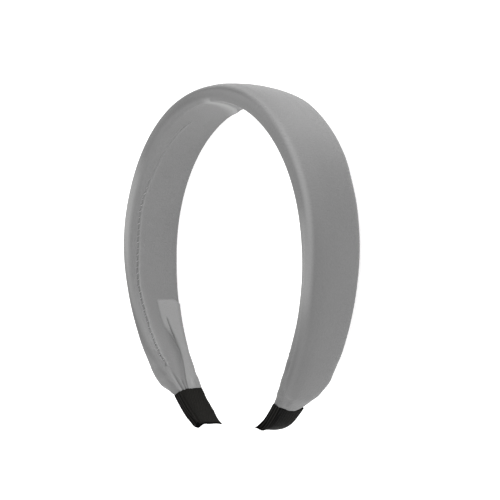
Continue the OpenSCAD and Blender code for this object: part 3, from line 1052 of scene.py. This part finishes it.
def ribbon_ring(side, at, inset):
    """One ring at a length from the ribbon's mouth: its points, cloth lengths and nap."""
    length = RIBBON_LENGTH[side]
    share = np.float64(at / length)
    near, far, near_thick, far_thick = (
        smooth_lookup(RIBBON_SHAPE[side], column, share) * mm for column in (1, 2, 3, 4))
    width = near + far - 2 * inset
    near_side = near_thick - 2 * inset
    far_side = far_thick - 2 * inset
    strip = np.linspace(0, 1, STRIP_STEPS, endpoint=False)
    face = np.linspace(0, 1, FACE_STEPS, endpoint=False)
    one_strip, one_face = np.ones(STRIP_STEPS), np.ones(FACE_STEPS)
    across = np.concatenate([0 * one_strip, face, one_strip, 1 - face])
    up = np.concatenate([strip, one_face, 1 - strip, 0 * one_face])
    pinch = smooth_step(share, PINCH_FROM, 1.0)
    toward_far = between(across, 1 - (1 - across) ** 4, pinch)
    thick = between(near_side, far_side, toward_far)
    u = near - inset - width * across
    v = thick * up
    round_at = np.concatenate([
        near_side * strip,
        near_side + width * face,
        near_side + width + far_side * strip,
        near_side + width + far_side + width * face,
    ])
    around = near_side + far_side + 2 * width
    corner = min(RIBBON_CORNER, 0.45 * float(far_side))
    round_u = rounding(np.minimum(v, thick - v), corner)
    round_v = rounding(np.minimum(width * across, width * (1 - across)), corner)
    on_strip = (across == 0) | (across == 1)
    u = u - np.where(on_strip, np.sign(0.5 - across) * round_u, 0)
    v = v + np.where(on_strip, 0, np.sign(0.5 - up) * round_v)
    painted_light = np.zeros(len(round_at))
    if inset == 0:
        # Painted light: each face lighter towards one edge, and painted highlights on the ribs
        ribs = 0.5 + 0.5 * np.cos(2 * math.pi * round_at / RIB_PITCH)
        toward_light = 1 - (1 - across) ** 4 if side < 0 else across ** 1.3
        face_painted_light = between(*FACE_PAINTED_LIGHT[side], toward_light) + FACE_RIB_PAINTED_HIGHLIGHT * ribs
        painted_light = np.where(on_strip, between(*STRIP_PAINTED_LIGHT, ribs ** 4), face_painted_light)
        proud = RIB_HEIGHT * ribs * np.where(on_strip, STRIP_RIBS, FACE_RIBS)
        hidden = up == (1 if side < 0 else 0)
        lapped = smooth_step(across, *LAP_AT) * (1 - smooth_step(across, *LAP_FADES))
        proud = proud + LAP_RISE * lapped * np.where(hidden & ~on_strip, 1, 0)
        pressed = bell(width * across - PRESSED_AT, PRESSED_WIDTH)
        depth = PRESSED_DEPTH * smooth_step(share, *PRESSED_FROM)
        proud = proud - np.where(on_strip | hidden, 0, depth * pressed)
        notch = NOTCH_DEPTH * pinch * np.sin(math.pi * up) ** 2 * (across == 0)
        u = u + np.where(on_strip, np.sign(0.5 - across) * proud, 0) - notch
        v = v + np.where(on_strip, 0, np.sign(up - 0.5) * proud)
    bow = edge_shift(MOUTH_BOW, side, across, up) * (1 - share) ** 2
    end = edge_shift(RIBBON_END, side, across, up) * share ** 3
    s = side * (HALF_LENGTH - length + at + bow + end)
    points = place(s, u, v + inset)
    cloth = np.stack([np.full(len(round_at) + 1, at), np.append(round_at, around)], -1)
    return points, cloth, painted_light


def ribbon_rings(side):
    """The ribbon from its inside fold back to its mouth, over the outside, and round the tip."""
    length = RIBBON_LENGTH[side]
    inside = np.arange(length - RIBBON_FOLD, INSIDE_ENDS, -1.5 * RIBBON_RING)
    outside = np.linspace(0, length, int(length / RIBBON_RING))
    rings = [(at, RIBBON_THICKNESS) for at in inside] + LIP_RINGS
    rings += [(at, 0) for at in outside]
    rings += [(length + past, inset) for past, inset in TIP_RINGS]
    made = [ribbon_ring(side, at, inset) for at, inset in rings[::side]]
    return [np.array(part) for part in zip(*made)]


def black_grosgrain():
    """Ribbed ribbon in near black: matt ribs along the arm, fine threads across them, and painted
    highlights.
    """
    material, tree, shader = new_material("black grosgrain ribbon")
    cloth = add_node(tree, "ShaderNodeUVMap", uv_map="cloth")
    weave = add_node(tree, "ShaderNodeGroup", node_tree=threads, inputs={
        "Cloth": cloth.outputs[0], "Pitch Along": 0.00030, "Pitch Across": 0.00085})
    tone = add_node(tree, "ShaderNodeMix", data_type="RGBA", inputs={
        "Factor": weave.outputs["Shade"], "A": (0.00095, 0.00091, 0.00083, 1),
        "B": (0.00175, 0.00167, 0.00150, 1)})
    # Painted light and highlights: each point's value brightens the near-black tone up to 25 times
    ribs = add_node(tree, "ShaderNodeAttribute", attribute_name="painted_light")
    light = add_node(tree, "ShaderNodeMapRange", inputs={
        "Value": ribs.outputs["Fac"], "From Max": 2.0, "To Min": 1.0, "To Max": 25.0})
    ribbed = add_node(tree, "ShaderNodeVectorMath", operation="SCALE", inputs={
        0: tone.outputs["Result"], "Scale": light.outputs[0]})
    tree.links.new(ribbed.outputs[0], shader.inputs["Base Color"])
    bump = add_node(tree, "ShaderNodeBump", inputs={
        "Strength": 0.5, "Distance": 0.00006, "Height": weave.outputs["Height"]})
    tree.links.new(bump.outputs[0], shader.inputs["Normal"])
    shader.inputs["Roughness"].default_value = 0.6
    shader.inputs["Specular IOR Level"].default_value = 0.027
    return material


ribbon_cloth = black_grosgrain()
for side, name in ((-1, "left"), (1, "right")):
    points, cloth, painted_light = ribbon_rings(side)
    tip = skin(f"ribbon_{name}", points, cloth)
    set_painted_light(tip, painted_light)
    tip.data.materials.append(ribbon_cloth)
    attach(tip, "root")
    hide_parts(f"ribbon_tip_{name}")

# Floor, light and camera
# The headband lies on its far long edge on a plain pale floor that glows as a light table
# does, in a bright room with one low wide light beyond its crown. It is seen from above and
# to the right, as photographed.
FLOOR_REACH = 3.0
floor_mesh = bpy.data.meshes.new("floor")
floor_mesh.from_pydata(
    [(-FLOOR_REACH, -FLOOR_REACH, 0), (FLOOR_REACH, -FLOOR_REACH, 0),
     (FLOOR_REACH, FLOOR_REACH, 0), (-FLOOR_REACH, FLOOR_REACH, 0)], [], [(0, 1, 2, 3)])
floor = bpy.data.objects.new("floor", floor_mesh)
bpy.context.scene.collection.objects.link(floor)
floor_finish, tree, shader = new_material("pale floor")
paper = add_node(tree, "ShaderNodeTexNoise", inputs={"Scale": 4.0, "Detail": 2.0})
pale = add_node(tree, "ShaderNodeMix", data_type="RGBA", inputs={
    "Factor": paper.outputs["Fac"], "A": (0.91, 0.91, 0.91, 1), "B": (0.93, 0.93, 0.93, 1)})
tree.links.new(pale.outputs["Result"], shader.inputs["Base Color"])
shader.inputs["Roughness"].default_value = 0.8
shader.inputs["Emission Color"].default_value = (1, 1, 1, 1)
shader.inputs["Emission Strength"].default_value = 0.60
floor_mesh.materials.append(floor_finish)

world = bpy.data.worlds.new("bright room")
world.use_nodes = True
world.node_tree.nodes["Background"].inputs["Color"].default_value = (1, 1, 1, 1)
world.node_tree.nodes["Background"].inputs["Strength"].default_value = 1.36
bpy.context.scene.world = world


def soft_light(name, toward, distance, width, height, watts):
    """A wide soft light at a distance in one direction, aimed at the headband."""
    lamp = bpy.data.lights.new(name, "AREA")
    lamp.shape = "RECTANGLE"
    lamp.size = width
    lamp.size_y = height
    lamp.energy = watts
    holder = bpy.data.objects.new(name, lamp)
    direction = Vector(toward).normalized()
    holder.location = direction * distance
    holder.rotation_mode = "QUATERNION"
    holder.rotation_quaternion = direction.to_track_quat("Z", "Y")
    holder.visible_camera = False
    bpy.context.scene.collection.objects.link(holder)


soft_light("low wide light", toward=(-0.07, 0.992, 0.11), distance=1.1,
           width=0.7, height=0.16, watts=12.0)

# The camera's place round the headband, with its picture's upper edge turned to the crown
FROM_SIDE = math.radians(55.38)
FROM_BELOW = math.radians(-3.21)
ROLL = math.radians(-2.56)
DISTANCE = 0.5473
LOOKED_AT = Vector((0, -0.00318, EDGE_MIDDLE))
AIM_RIGHT = 7.86 * mm
AIM_UP = 5.98 * mm
back = Vector((
    math.sin(FROM_SIDE) * math.cos(FROM_BELOW),
    math.sin(FROM_BELOW),
    math.cos(FROM_SIDE) * math.cos(FROM_BELOW)))
level_right = Vector((math.cos(FROM_SIDE), 0, -math.sin(FROM_SIDE)))
level_up = back.cross(level_right)
picture_right = level_right * math.cos(ROLL) + level_up * math.sin(ROLL)
picture_up = level_up * math.cos(ROLL) - level_right * math.sin(ROLL)
eye = LOOKED_AT + back * DISTANCE
aim = LOOKED_AT + picture_right * AIM_RIGHT + picture_up * AIM_UP
view_back = (eye - aim).normalized()
view_right = picture_up.cross(view_back).normalized()
view_up = view_back.cross(view_right)
lens = bpy.data.cameras.new("camera")
lens.lens = 89.98
lens.sensor_width = 36
lens.clip_start = 0.01
camera = bpy.data.objects.new("camera", lens)
bpy.context.scene.collection.objects.link(camera)
turned = Matrix((view_right, view_up, view_back)).transposed().to_4x4()
turned.translation = eye
camera.matrix_world = turned
bpy.context.scene.camera = camera
bpy.context.scene.view_settings.view_transform = "Standard"
